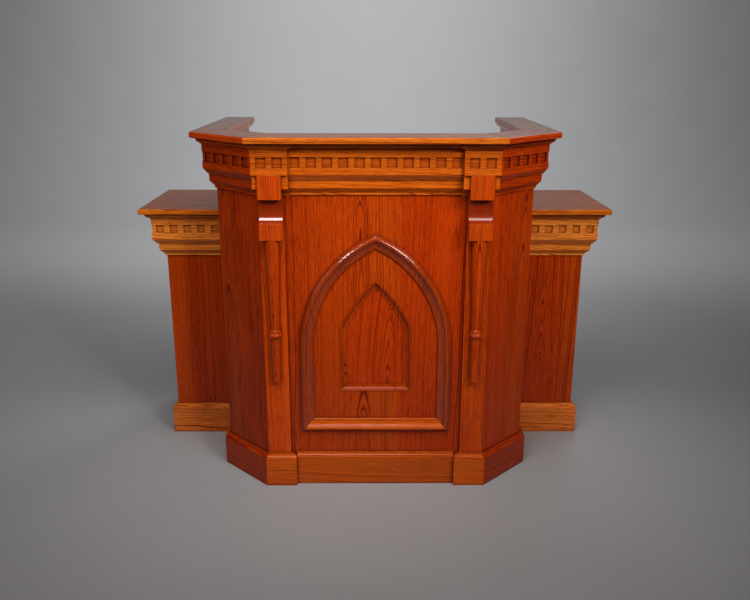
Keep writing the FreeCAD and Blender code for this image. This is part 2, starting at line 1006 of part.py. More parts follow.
desk_plan = [
    (-DESK_NOSE, 0),
    (DESK_NOSE, 0),
    (well_x, DESK_BEND),
    (well_x, DESK_LONG),
    (-well_x, DESK_LONG),
    (-well_x, DESK_BEND),
]
keep(tilted_board("reading_desk", desk_plan, board))
stop_plan = [
    (-well_x, DESK_LONG),
    (well_x, DESK_LONG),
    (well_x, DESK_LONG + board),
    (-well_x, DESK_LONG + board),
]
keep(tilted_board("book_stop", stop_plan, board + STOP_LIP))
bars = []
for inner, outer in ((well_x - CLEAT, well_x), (-well_x, CLEAT - well_x)):
    near, far = CLEAT_REACH
    bar_plan = [(inner, near), (outer, near), (outer, far), (inner, far)]
    bars.append(tilted_board("cleat_bar", bar_plan, CLEAT, -CLEAT))
cleats = doc.addObject("Part::Compound", "desk_cleats")
cleats.Label = "desk_cleats"
cleats.Links = bars
keep(cleats)

diagonal_wall = front_half - board * math.sqrt(2)
floor_plan = [
    (-(diagonal_wall + inner_front), inner_front),
    (diagonal_wall + inner_front, inner_front),
    (well_x, well_x - diagonal_wall),
    (well_x, body_back - shelf_inset),
    (-well_x, body_back - shelf_inset),
    (-well_x, well_x - diagonal_wall),
]
keep(plan_board("bottom_board", floor_plan, bottom_high, board))
shelf_edge = [(well_x, shelf_back), (-well_x, shelf_back)]
shelf_plan = floor_plan[:3] + shelf_edge + floor_plan[5:]
keep(plan_board("inner_shelf", shelf_plan, shelf_high, board))

# Wings.
wing_high = wing_top - cap
wing_long = wing_side - side_half
wing_deep = wing_back - wing_front
KEY_MARGIN = 17  # from a wing frieze's corner to its first sinking
for hand, sign in SIDES:
    flip = mirrored if sign < 0 else list
    inner_wing = wing_side - board
    keep(
        plan_board(
            f"wing_panel_front_{hand}",
            flip(
                [
                    (side_half, wing_front),
                    (wing_side, wing_front),
                    (inner_wing, wing_front + board),
                    (side_half, wing_front + board),
                ]
            ),
            0,
            wing_high,
        )
    )
    keep(
        plan_board(
            f"wing_panel_side_{hand}",
            flip(
                [
                    (wing_side, wing_front),
                    (wing_side, wing_back),
                    (inner_wing, wing_back),
                    (inner_wing, wing_front + board),
                ]
            ),
            0,
            wing_high,
        )
    )
    top_plan = [
        (side_half, wing_front - over),
        (wing_side + over, wing_front - over),
        (wing_side + over, wing_cap_back),
        (side_half, wing_cap_back),
    ]
    top = plan_board(f"wing_top_{hand}", flip(top_plan), wing_high, cap)

    def nosed(z, sign=sign):
        front = (wing_front - over).value
        outer = (wing_side + over).value * sign
        return lambda middle, edge: (
            abs(middle.z - z) < 0.1
            and (abs(middle.y - front) < 0.1 or abs(middle.x - outer) < 0.1)
        )

    ease(top, nosed(cap.value), NOSE_TOP, "top")
    ease(top, nosed(0), NOSE_UNDER, "under")
    keep(top)

    shelf_in = [
        (side_half, wing_front + board),
        (inner_wing, wing_front + board),
        (inner_wing, wing_back - shelf_inset),
        (side_half, wing_back - shelf_inset),
    ]
    keep(plan_board(f"wing_bottom_{hand}", flip(shelf_in), bottom_high, board))
    keep(plan_board(f"wing_shelf_{hand}", flip(shelf_in), wing_shelf_high, board))

    for label, profile, arcs, out in (
        ("wing_frieze", frieze_profile(wing_key), None, as_dim(0)),
        ("wing_cove", COVE, COVE_ARCS, frieze),
        ("wing_base", base_profile(), BASE_ARCS, as_dim(0)),
    ):
        high = base_high if label == "wing_base" else wing_top
        front_long = wing_long + out
        side_run = wing_deep + out
        edge_x = wing_side + out
        edge_y = wing_front - out
        if sign < 0:
            front_run = (-edge_x, edge_y, high, 0, front_long, profile, MITRE_90, SQUARE)
            back_run = (-edge_x, wing_back, high, -90, side_run, profile, SQUARE, MITRE_90)
        else:
            front_run = (side_half, edge_y, high, 0, front_long, profile, SQUARE, MITRE_90)
            back_run = (edge_x, edge_y, high, 90, side_run, profile, MITRE_90, SQUARE)
        lengths = [
            run(f"{label}_front_length_{hand}", *front_run, arcs),
            run(f"{label}_side_length_{hand}", *back_run, arcs),
        ]
        if label == "wing_frieze":
            near = wing_key * 0.5 + KEY_MARGIN - frieze
            front_first = wing_long - near - key_pitch * 4 if sign > 0 else near
            side_first = near if sign > 0 else wing_deep - near - key_pitch * 7
            sink_squares(lengths[0], 5, front_first, wing_key)
            sink_squares(lengths[1], 8, side_first, wing_key)
        keep(joined(f"{label}_{hand}", lengths))

# Covers over the screws that join each wing to the body, inside the side panels.
COVER_RADIUS = 7
COVER_THICK = 2
COVER_HEIGHTS = (200, 420, 640, 860)
covers = []
for sign in (-1, 1):
    for y in (wing_front + board * 0.5, wing_back - board * 1.5):
        for z in COVER_HEIGHTS:
            cover = doc.addObject("Part::Cylinder", "screw_cover")
            cover.Radius = COVER_RADIUS
            cover.Height = COVER_THICK
            turn = Rotation(Vector(0, 1, 0), -90 * sign)
            cover.Placement = Placement(Vector(well_x.value * sign, 0, z), turn)
            cover.setExpression("Placement.Base.x", (well_x * sign).text)
            cover.setExpression("Placement.Base.y", (face_y + y).text)
            covers.append(cover)
screw_covers = doc.addObject("Part::Compound", "screw_covers")
screw_covers.Label = "screw_covers"
screw_covers.Links = covers
keep(screw_covers)

doc.recompute()
for thing in doc.Objects:
    if "Invalid" in thing.State or "Error" in thing.State:
        raise RuntimeError(f"{thing.Name} did not recompute: {thing.State}")
os.makedirs("parts", exist_ok=True)
for piece in exports:
    shape = piece.Shape
    if shape.isNull() or not shape.isValid():
        raise RuntimeError(f"{piece.Label} has no valid shape")
    shape.exportStep(f"parts/{piece.Label}.step")
print(len(exports), "pieces")
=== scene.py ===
import math
import random

import bpy
from mathutils import Matrix, Vector


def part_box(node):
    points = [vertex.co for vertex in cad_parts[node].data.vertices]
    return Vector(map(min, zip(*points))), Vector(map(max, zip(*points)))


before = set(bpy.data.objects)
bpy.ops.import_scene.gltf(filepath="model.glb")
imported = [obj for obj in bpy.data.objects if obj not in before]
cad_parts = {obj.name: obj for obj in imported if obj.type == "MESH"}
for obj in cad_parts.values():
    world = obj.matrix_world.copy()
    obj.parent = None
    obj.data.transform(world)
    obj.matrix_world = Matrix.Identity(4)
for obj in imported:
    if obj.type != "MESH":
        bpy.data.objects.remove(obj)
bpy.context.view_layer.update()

scene = bpy.context.scene
scene.view_settings.view_transform = "Standard"
chance = random.Random(20)

# Camera: in front of the object at a standing viewer's height, looking slightly down.
CAMERA_PLACE = (-0.0148, -2.8795, 1.444)
CAMERA_DOWN = 16.92
CAMERA_RIGHT = 0.29
CAMERA_ROLL = 0.10
LENS = 37.86
SENSOR = 36.0

# Lamps: place, target, size, watts, colour and spread in degrees.
LAMPS = {
    "key": ((2.4, -3.1, 2.9), (0, -0.3, 1.5), (1.9, 0.85), 15.8, (1.0, 0.97, 0.94), 53),
    "glint": ((-2.4, -3.1, 2.9), (0, -0.3, 1.55), (1.2, 0.5), 3.4, (1.0, 0.97, 0.94), 53),
    "fill": ((-3.6, -1.9, 1.9), (0, -0.3, 1.8), (1.6, 1.6), 2.0, (1.0, 0.98, 0.96), 50),
    "top": ((-0.42, -1.65, 2.85), (-0.2, -0.4, 0.96), (1.35, 1.2), 10.0, (1.0, 0.98, 0.96), 90),
    "top_right": ((0.60, -1.65, 2.85), (0.3, -0.4, 0.96), (0.6, 1.2), 1.6, (1.0, 0.98, 0.96), 90),
    "rear": ((1.3, 2.6, 3.1), (0, 0.1, 0.8), (1.6, 1.0), 7.0, (0.97, 0.98, 1.0), 80),
    "backdrop": ((0, 2.6, 3.6), (0, 6.0, 1.6), (3.0, 0.6), 200.0, (1.0, 1.0, 1.0), 180),
}

# The world lights the object softly, and past the floor it looks like the floor.
WORLD_LIGHT = (0.034, 0.030, 0.026, 1)
WORLD_SEEN = (0.036, 0.036, 0.037, 1)

# Studio paper: a floor that sweeps up into a backdrop.
PAPER = (0.37, 0.375, 0.385)
PAPER_ROUGH = 0.8
PAPER_MOTTLE = 0.03
MOTTLE_RATE = 3.0
STAGE_REACH = 9.0
SWEEP_START = 4.2
SWEEP_RADIUS = 2.0
SWEEP_STEPS = 24
BACKDROP_TOP = 7.0

# Stains: the light late wood, the dark early wood, lacquer, and how strongly level tops are
# painted darker and greyer, a painted shade and sheen.
STAINS = {
    "golden": ((0.95, 0.285, 0.040), (0.40, 0.060, 0.005), 0.30, 0.0),
    "tan": ((0.95, 0.24, 0.032), (0.40, 0.052, 0.0035), 0.30, 0.0),
    "rail": ((0.70, 0.168, 0.010), (0.27, 0.038, 0.0025), 0.18, 0.55),
    "shelf_top": ((0.74, 0.180, 0.010), (0.29, 0.042, 0.002), 0.12, 0.42),
    "return": ((0.54, 0.056, 0.003), (0.21, 0.014, 0.001), 0.18, 0.55),
    "arm": ((0.36, 0.105, 0.020), (0.15, 0.034, 0.005), 0.18, 0.55),
    "frieze": ((0.64, 0.124, 0.006), (0.25, 0.029, 0.0018), 0.30, 0.0),
    "panel": ((0.545, 0.056, 0.002), (0.20, 0.0125, 0.001), 0.30, 0.0),
    "post": ((0.72, 0.085, 0.003), (0.31, 0.021, 0.0012), 0.30, 0.0),
    # canted: the panel's stain darkened for the angled faces, painted shade for the less light
    # they get.
    "canted": ((0.55, 0.049, 0.0016), (0.15, 0.010, 0.0006), 0.12, 0.0),
    "wing": ((0.58, 0.056, 0.003), (0.20, 0.014, 0.001), 0.22, 0.0),
    "carved": ((0.54, 0.062, 0.003), (0.22, 0.016, 0.0012), 0.40, 0.0),
    "ridge": ((0.40, 0.044, 0.0010), (0.13, 0.010, 0.0005), 0.95, 0.0),
    "beading": ((0.44, 0.046, 0.0018), (0.12, 0.008, 0.0006), 0.22, 0.0),
    "base": ((0.67, 0.106, 0.0045), (0.27, 0.029, 0.0012), 0.30, 0.0),
    "plinth_side": ((0.48, 0.043, 0.002), (0.18, 0.012, 0.0008), 0.22, 0.0),
    "inside": ((0.44, 0.100, 0.010), (0.19, 0.030, 0.003), 0.12, 0.0),
    "cover": ((0.22, 0.035, 0.004), (0.09, 0.012, 0.001), 0.30, 0.0),
}
TONE_SPREAD = 0.10
SEED_RANGE = 40
# The darker, greyer colour painted on level tops: painted shade and sheen.
TOP_SHADE_SHEEN_COLOUR = (0.10, 0.045, 0.016, 1)
# Near black for the deepest pores and the painted corner shade, and how far the dark wood goes
# towards it; then gloss and roughness.
BLACKENED = (0.006, 0.001, 0.0003, 1)
BLACKENING = 0.60
SPECULAR = 0.05
LACQUER_ROUGH = 0.10
WOOD_ROUGH = 0.27

# Grain: noise layers as cycles per metre across and along the grain, detail, roughness;
# then the rings' ripple, taper and sway, in metres or as shares, and their unevenness.
GRAIN_LAYERS = {
    "wander": (2.2, 1.3, 2.0, 0.5),
    "ripple": (34.0, 7.0, 2.0, 0.55),
    "streak": (520.0, 20.0, 3.0, 0.65),
    "fibre": (900.0, 24.0, 2.0, 0.6),
    "pore": (1400.0, 70.0, 1.0, 0.5),
    "broad": (16.0, 2.0, 2.0, 0.5),
}
RIPPLE_SIZE = 0.0035
TAPER = 0.02
DEPTH_SWAY = 2.0
UNEVEN_RATE = 0.40
UNEVEN_RINGS = 3.0
RING_SHUFFLE = 0.83
FAINTEST_RING = 0.25
# Where in a ring the early wood starts and has started, and ends and has ended.
EARLY_WOOD = ((0.0, 0.08), (0.16, 0.52))
LATE_PORES = 0.20

# How much each part of the grain darkens the wood, or swings it both ways.
EARLY_DARK = 0.86
STREAK_DARK = 0.50
PORE_DARK = 0.80
FIBRE_SWING = 0.40
BROAD_SWING = 0.55
CAST_SWING = 0.45
DARK_PIVOT = 0.36
DARK_MIDDLE = 0.40
CONTRAST = 1.3
# Painted shade in corners and recesses: how far it looks for nearby surfaces, and how dark it
# paints.
CORNER_REACH = 0.014
PAINTED_CORNER_SHADE = 0.85
# The grain's bumps: their strength and height.
BUMP_STRENGTH = 0.35
BUMP_HEIGHT = 0.0004

# The painted shade and sheen on level tops starts and is full where a face's normal has
# these upward parts.
LEVEL = (0.75, 0.95)

# Boards: how far the pith lies to the side (Across) and behind the face (Depth), ring
# spacing and waviness (Figure) in metres, and tone. Where a panel is made of several
# leaves of veneer, Edges are the joints between them, from the panel's middle.
SOLID = {"Across": 0.09, "Depth": 0.05, "Spacing": 0.0034, "Figure": 0.03}
DEEP = {**SOLID, "Depth": 0.08}
SHELF = {**SOLID, "Spacing": 0.007}
TURNED = {"Across": 0.0, "Depth": 0.028, "Spacing": 0.0030, "Figure": 0.04}
STRAIGHT = {"Across": 0.35, "Depth": 0.06, "Spacing": 0.0034, "Figure": 0.03}
LANCET = {"Across": -0.05, "Depth": 0.022, "Spacing": 0.0036, "Figure": 0.05, "Golden": 0.85}
FRONT = {
    "Edges": [-0.017, 0.082],
    "Across": [0.045, 0.45, -0.50],
    "Depth": [0.024, 0.08, 0.10],
    "Tone": [0.05, -0.08, 0.03],
    "Golden": [1.0, 1.13, 0.86],
    "Spacing": 0.0036,
    "Figure": 0.05,
}
CANTED_FACE = {
    "Edges": [0.015],
    "Across": [0.50, -0.07],
    "Depth": [0.10, 0.022],
    "Tone": [0.0, 0.06],
    "Golden": [0.95, 1.1],
    "Spacing": 0.0036,
    "Figure": 0.05,
}
WING_FACE = {
    "Edges": [0.065],
    "Across": [0.01, -0.40],
    "Depth": [0.020, 0.08],
    "Tone": [0.05, -0.12],
    "Golden": [0.95, 1.15],
    "Spacing": 0.0038,
    "Figure": 0.045,
}
BY_LEAF = ("Across", "Depth", "Tone", "Golden")
BOARD_INPUTS = (*BY_LEAF, "Spacing", "Figure", "Seed", "SunkShadeAndStain", "PaintedTopShadeSheen")

# Each piece's stain, board and grain direction; other pieces are the plain shelves.
PIECES = {
    "front_panel": ("panel", FRONT, "up"),
    "lancet_panel": ("panel", LANCET, "up"),
    "canted_panel": ("canted", CANTED_FACE, "up"),
    "side_panel": ("wing", WING_FACE, "up"),
    "wing_panel_front": ("wing", WING_FACE, "up"),
    "wing_panel_side": ("wing", WING_FACE, "up"),
    "pilaster": ("post", STRAIGHT, "up"),
    "console": ("carved", SOLID, "up"),
    "drop_column": ("panel", TURNED, "up"),
    "arch_moulding": ("ridge", SOLID, "up"),
    "lancet_frame": ("beading", SOLID, "up"),
    "arch_sill": ("base", SOLID, "x"),
    "frieze_front": ("frieze", SOLID, "x"),
    "frieze_block": ("frieze", SOLID, "x"),
    "frieze_canted": ("canted", SOLID, "slant"),
    "frieze_side": ("base", SOLID, "y"),
    "cap_front": ("rail", SOLID, "x"),
    "cap_canted": ("return", SOLID, "slant"),
    "cap_arm": ("arm", SOLID, "y"),
    "cap_cove_front": ("frieze", SOLID, "x"),
    "cap_cove_canted": ("canted", SOLID, "slant"),
    "cap_cove_side": ("base", SOLID, "y"),
    "rail_lip_cove": ("base", SOLID, "x"),
    "base_front": ("base", SOLID, "x"),
    "base_block": ("base", SOLID, "x"),
    "base_return": ("plinth_side", SOLID, "slant"),
    "wing_top": ("shelf_top", DEEP, "x"),
    "wing_frieze": ("golden", SOLID, "x"),
    "wing_cove": ("golden", SOLID, "x"),
    "wing_base": ("tan", SOLID, "x"),
    "desk_cleats": ("inside", SOLID, "y"),
    "screw_covers": ("cover", SOLID, "up"),
}
SHELVES = ("inside", SHELF, "x")
DIRECTIONS = {"x": (1, 0, 0), "y": (0, 1, 0), "up": (0, 0, 1)}
SLANTS = {"left": (1, -1, 0), "right": (1, 1, 0)}

# How far upright boards on canted and side faces turn from facing the front.
FACE_TURN = {"canted_panel": 45, "side_panel": 90, "wing_panel_side": 90}

# Mitres: past this plane of |x|, y and z, the piece's grain runs from front to back.
WING_CORNER = ((1, 1, 0), 0.792 + 0.051)
PLINTH_SLOPE = 0.41421  # tan 22.5 degrees
MITRES = {
    "wing_frieze": WING_CORNER,
    "wing_cove": WING_CORNER,
    "wing_base": WING_CORNER,
    "base_return": ((PLINTH_SLOPE, 1, 0), 0.537 * PLINTH_SLOPE - 0.212),
    "rail_lip_cove": ((1, 0, 0), 0.505),
}

# Sinkings: the walls behind them as planes of |x|, y and z, their heights, how far their
# floors stand off the walls, and how much darker their floors are painted: painted shade in
# the frieze squares, and the stain the end grain takes up in the consoles' hollows.
DIAGONAL = math.sqrt(0.5)
FLOOR_OUT = 0.0365
MAIN_SQUARES = (1.121, 1.153)
WING_SQUARES = (0.827, 0.855)
# The frieze squares' floors painted darker: painted shade.
SQUARE_PAINTED_SHADE = 0.35
# The consoles' hollows darker with the stain their end grain takes up.
COVE_STAIN = 0.77
SINKINGS = {
    "frieze_front": ([((0, -1, 0), 0.360)], MAIN_SQUARES, FLOOR_OUT, SQUARE_PAINTED_SHADE),
    "frieze_block": ([((0, -1, 0), 0.374)], MAIN_SQUARES, FLOOR_OUT, SQUARE_PAINTED_SHADE),
    "frieze_canted": (
        [((DIAGONAL, -DIAGONAL, 0), 0.749 * DIAGONAL)], MAIN_SQUARES, FLOOR_OUT, SQUARE_PAINTED_SHADE,
    ),
    "frieze_side": ([((1, 0, 0), 0.537)], MAIN_SQUARES, FLOOR_OUT, SQUARE_PAINTED_SHADE),
    "wing_frieze": (
        [((0, -1, 0), -0.051), ((1, 0, 0), 0.792)], WING_SQUARES, FLOOR_OUT, SQUARE_PAINTED_SHADE,
    ),
    "console": ([((0, -1, 0), 0.374)], (0.9445, 1.0215), 0.040, COVE_STAIN),
}

# Lacquer's index of refraction, on the arch moulding's ridge too, and what the polish in
# the consoles' hollows adds to it.
LACQUER_IOR = 1.5
RIDGE_IOR = 1.6
COVE_POLISH = 1.6

# Eased edges: their width, more on the rail and wing tops, and how sharp an edge has to be.
EASING = 0.0010
RAIL_EASING = 0.0025
RAIL_PIECES = ("cap_front", "cap_canted", "cap_arm", "wing_top")
EDGE_ANGLE = 32
WELD_REACH = 0.00001
FLAT_ANGLE = 0.5


def make_camera():
    data = bpy.data.cameras.new("camera")
    data.lens = LENS
    data.sensor_width = SENSOR
    camera = bpy.data.objects.new("camera", data)
    scene.collection.objects.link(camera)
    turn = (
        Matrix.Rotation(-math.radians(CAMERA_RIGHT), 4, "Z")
        @ Matrix.Rotation(math.radians(90 - CAMERA_DOWN), 4, "X")
        @ Matrix.Rotation(math.radians(CAMERA_ROLL), 4, "Z")
    )
    camera.matrix_world = Matrix.Translation(CAMERA_PLACE) @ turn
    scene.camera = camera


class Graph:
    """Short calls that add nodes to a tree; each returns an output socket."""

    def __init__(self, tree):
        self.tree = tree

    def node(self, kind, **settings):
        node = self.tree.nodes.new(kind)
        for key, value in settings.items():
            setattr(node, key, value)
        return node

    def feed(self, socket, value):
        if isinstance(value, bpy.types.NodeSocket):
            self.tree.links.new(value, socket)
        else:
            socket.default_value = value

    def math(self, operation, a, b=0.5, clamp=False):
        node = self.node("ShaderNodeMath", operation=operation, use_clamp=clamp)
        self.feed(node.inputs[0], a)
        self.feed(node.inputs[1], b)
        return node.outputs[0]

    def add(self, a, b):
        return self.math("ADD", a, b)

    def less(self, a, b):
        return self.math("SUBTRACT", a, b)

    def times(self, a, b):
        return self.math("MULTIPLY", a, b)

    def centred(self, value, scale):
        """A 0 to 1 noise value as a swing of the given size about zero."""
        return self.times(self.less(value, 0.5), scale)

    def dot(self, a, b):
        node = self.node("ShaderNodeVectorMath", operation="DOT_PRODUCT")
        self.feed(node.inputs[0], a)
        self.feed(node.inputs[1], b)
        return node.outputs["Value"]

    def vector(self, x, y, z):
        node = self.node("ShaderNodeCombineXYZ")
        for socket, value in zip(node.inputs, (x, y, z)):
            self.feed(socket, value)
        return node.outputs[0]

    def split(self, vector):
        node = self.node("ShaderNodeSeparateXYZ")
        self.feed(node.inputs[0], vector)
        return node.outputs

    def noise(self, place, detail, rough, kind="3D"):
        node = self.node("ShaderNodeTexNoise", noise_dimensions=kind)
        self.feed(node.inputs["W" if kind == "1D" else "Vector"], place)
        self.feed(node.inputs["Scale"], 1.0)
        self.feed(node.inputs["Detail"], detail)
        self.feed(node.inputs["Roughness"], rough)
        return node.outputs

    def smooth(self, value, low, high, to_low=0.0, to_high=1.0):
        node = self.node("ShaderNodeMapRange", interpolation_type="SMOOTHSTEP")
        for socket, number in zip(node.inputs, (value, low, high, to_low, to_high)):
            self.feed(socket, number)
        return node.outputs[0]

    def mix(self, factor, a, b, blend="MIX"):
        node = self.node("ShaderNodeMix", data_type="RGBA", blend_type=blend)
        self.feed(node.inputs[0], factor)
        self.feed(node.inputs[6], a)
        self.feed(node.inputs[7], b)
        return node.outputs[2]

    def stepped(self, place, edges, values):
        """A value that changes from leaf to leaf at each joint between them."""
        total = values[0]
        for edge, before, after in zip(edges, values, values[1:]):
            past = self.math("GREATER_THAN", place, edge)
            total = self.add(total, self.times(past, after - before))
        return total


def make_oak_group():
    """Stained oak in grain space: X across, Y into the board, Z along the grain, metres."""
    tree = bpy.data.node_groups.new("oak", "ShaderNodeTree")
    tree.interface.new_socket("Vector", in_out="INPUT", socket_type="NodeSocketVector")
    for name in ("Light", "Dark"):
        tree.interface.new_socket(name, in_out="INPUT", socket_type="NodeSocketColor")
    for name in BOARD_INPUTS:
        socket = tree.interface.new_socket(name, in_out="INPUT", socket_type="NodeSocketFloat")
        socket.default_value = 1.0 if name == "Golden" else 0.0
    tree.interface.new_socket("Color", in_out="OUTPUT", socket_type="NodeSocketColor")
    for name in ("Roughness", "Height"):
        tree.interface.new_socket(name, in_out="OUTPUT", socket_type="NodeSocketFloat")
    g = Graph(tree)
    given = g.node("NodeGroupInput").outputs
    x, y, z = g.split(given["Vector"])
    seed = given["Seed"]

    def grain(layer):
        """One of the noise layers, drawn out along the grain."""
        across, along, detail, rough = GRAIN_LAYERS[layer]
        spots = [g.times(part, rate) for part, rate in ((x, across), (y, across), (z, along))]
        return g.noise(g.vector(*[g.add(spot, seed) for spot in spots]), detail, rough)

    # Growth rings round a wandering pith behind the face.
    wander_a, wander_b, cast = g.split(grain("wander")["Color"])
    u = g.add(g.add(x, given["Across"]), g.centred(wander_a, given["Figure"]))
    sway = g.centred(wander_b, given["Figure"])
    v = g.add(g.add(y, given["Depth"]), g.times(sway, DEPTH_SWAY))
    radius = g.math("SQRT", g.add(g.times(u, u), g.times(v, v)))
    radius = g.add(radius, g.times(grain("ripple")["Fac"], RIPPLE_SIZE))
    radius = g.add(radius, g.times(z, TAPER))
    ring = g.math("DIVIDE", radius, given["Spacing"])
    uneven = g.noise(g.add(g.times(ring, UNEVEN_RATE), seed), 2.0, 0.5, "1D")["Fac"]
    ring = g.add(ring, g.times(uneven, UNEVEN_RINGS))
    phase = g.math("FRACT", ring)
    rise, fall = EARLY_WOOD
    early = g.times(g.smooth(phase, *rise), g.smooth(phase, *fall, 1.0, 0.0))
    which = g.times(g.add(g.math("FLOOR", ring), seed), RING_SHUFFLE)
    strength = g.noise(which, 0.0, 0.5, "1D")["Fac"]
    early = g.times(early, g.smooth(strength, 0.30, 0.68, FAINTEST_RING, 1.0))

    # Streaks and fibres along the grain, and the open pores of the early wood.
    streak = g.smooth(grain("streak")["Fac"], 0.40, 0.66)
    fibre = grain("fibre")["Fac"]
    pore = g.smooth(grain("pore")["Fac"], 0.54, 0.66)
    pore = g.times(pore, g.add(g.times(early, 1 - LATE_PORES), LATE_PORES))
    broad = grain("broad")["Fac"]

    # How dark the wood is, from the light late wood at 0 to the dark early wood at 1.
    dark = g.add(g.times(early, EARLY_DARK), g.times(streak, STREAK_DARK))
    dark = g.add(dark, g.centred(fibre, FIBRE_SWING))
    dark = g.add(dark, g.centred(broad, BROAD_SWING))
    dark = g.add(dark, g.centred(cast, CAST_SWING))
    dark = g.add(g.times(g.less(dark, DARK_PIVOT), CONTRAST), DARK_MIDDLE)
    dark = g.math("ADD", dark, given["Tone"], clamp=True)
    colour = g.mix(dark, given["Light"], given["Dark"])
    warmth = g.vector(1.0, given["Golden"], given["Golden"])
    colour = g.mix(1.0, colour, warmth, "MULTIPLY")
    deepest = g.mix(BLACKENING, given["Dark"], BLACKENED)
    colour = g.mix(g.times(pore, PORE_DARK), colour, deepest)
    # Floors of sinkings darker: painted shade in the squares, end-grain stain in the consoles'
    # hollows.
    colour = g.mix(given["SunkShadeAndStain"], colour, given["Dark"])
    # Level tops painted darker and greyer: painted shade and sheen.
    colour = g.mix(given["PaintedTopShadeSheen"], colour, TOP_SHADE_SHEEN_COLOUR)

    # Painted shade: corners and recesses darkened the more nearby surfaces hem them in.
    shade = g.node("ShaderNodeAmbientOcclusion", samples=6)
    g.feed(shade.inputs["Distance"], CORNER_REACH)
    painted_corner_shade = g.smooth(shade.outputs["AO"], 0.35, 0.95, PAINTED_CORNER_SHADE, 0.0)
    colour = g.mix(painted_corner_shade, colour, deepest)

    rough = g.add(g.times(pore, 0.22), g.times(early, 0.06))
    rough = g.add(g.add(rough, g.centred(broad, 0.12)), WOOD_ROUGH)
    height = g.less(g.times(fibre, 0.25), g.add(pore, g.times(early, 0.35)))
    out = g.node("NodeGroupOutput").inputs
    g.feed(out["Color"], colour)
    g.feed(out["Roughness"], rough)
    g.feed(out["Height"], height)
    return tree


def grain_place(g, place, direction, middle, turn):
    """A place in grain space, for a grain direction and an upright board's turn."""
    along = Vector(direction).normalized()
    if direction == DIRECTIONS["up"]:
        spin = Matrix.Rotation(math.radians(turn), 3, "Z")
        rows = (spin @ Vector((1, 0, 0)), spin @ Vector((0, 1, 0)), along)
    else:
        rows = (Vector((0, 0, 1)), Vector((-along.y, along.x, 0)), along)
    return g.vector(*[g.add(g.dot(place, tuple(row)), -row.dot(middle)) for row in rows])


def oak_material(name, kind, look, coat, painted_top_shade_sheen, direction, turn, middle):
    """Oak for one piece, with its mitre and sinkings where its kind has them."""
    material = bpy.data.materials.new(name)
    material.use_nodes = True
    g = Graph(material.node_tree)
    shader = material.node_tree.nodes["Principled BSDF"]
    place = g.node("ShaderNodeTexCoord").outputs["Object"]
    x, y, z = g.split(place)
    mirrored = g.vector(g.math("ABSOLUTE", x), y, z)
    vector = grain_place(g, place, direction, middle, turn)
    if kind in MITRES:
        normal, offset = MITRES[kind]
        blend = g.node("ShaderNodeMix", data_type="VECTOR")
        g.feed(blend.inputs[0], g.math("GREATER_THAN", g.dot(mirrored, normal), offset))
        g.feed(blend.inputs[4], vector)
        g.feed(blend.inputs[5], grain_place(g, place, DIRECTIONS["y"], middle, 0))
        vector = blend.outputs[1]
    oak = g.node("ShaderNodeGroup", node_tree=oak_group)
    g.feed(oak.inputs["Vector"], vector)
    across = g.split(vector)[0]
    for key, value in look.items():
        if key != "Edges":
            if isinstance(value, list):
                value = g.stepped(across, look["Edges"], value)
            g.feed(oak.inputs[key], value)
    lacquer = RIDGE_IOR if kind == "arch_moulding" else LACQUER_IOR
    g.feed(shader.inputs["Coat IOR"], lacquer)
    if kind in SINKINGS:
        walls, (low, high), out, stain = SINKINGS[kind]
        depths = [g.less(g.dot(mirrored, normal), offset) for normal, offset in walls]
        depth = depths[0]
        for other in depths[1:]:
            depth = g.math("MAXIMUM", depth, other)
        inside = g.math("LESS_THAN", depth, out)
        inside = g.times(inside, g.math("GREATER_THAN", z, low))
        inside = g.times(inside, g.math("LESS_THAN", z, high))
        # Floors of sinkings painted darker: painted shade in the squares, end-grain stain in the
        # consoles' hollows.
        g.feed(oak.inputs["SunkShadeAndStain"], g.times(inside, stain))
        if kind == "console":
            polish = g.add(g.times(inside, COVE_POLISH), lacquer)
            g.feed(shader.inputs["Coat IOR"], polish)
    # Level tops painted darker and greyer through both tone and colour: painted shade and sheen.
    if painted_top_shade_sheen:
        normal = g.node("ShaderNodeNewGeometry").outputs["Normal"]
        level = g.smooth(g.split(normal)[2], *LEVEL, 0.0, painted_top_shade_sheen)
        g.feed(oak.inputs["Tone"], level)
        g.feed(oak.inputs["PaintedTopShadeSheen"], level)
    bump = g.node("ShaderNodeBump")
    g.feed(bump.inputs["Strength"], BUMP_STRENGTH)
    g.feed(bump.inputs["Distance"], BUMP_HEIGHT)
    g.feed(bump.inputs["Height"], oak.outputs["Height"])
    g.feed(shader.inputs["Base Color"], oak.outputs["Color"])
    g.feed(shader.inputs["Roughness"], oak.outputs["Roughness"])
    g.feed(shader.inputs["Normal"], bump.outputs["Normal"])
    g.feed(shader.inputs["Specular IOR Level"], SPECULAR)
    g.feed(shader.inputs["Coat Weight"], coat)
    g.feed(shader.inputs["Coat Roughness"], LACQUER_ROUGH)
    return material


def toned(colour, tone):
    red, green, blue = [part * tone for part in colour]
    return min(red, 0.95), green, blue, 1


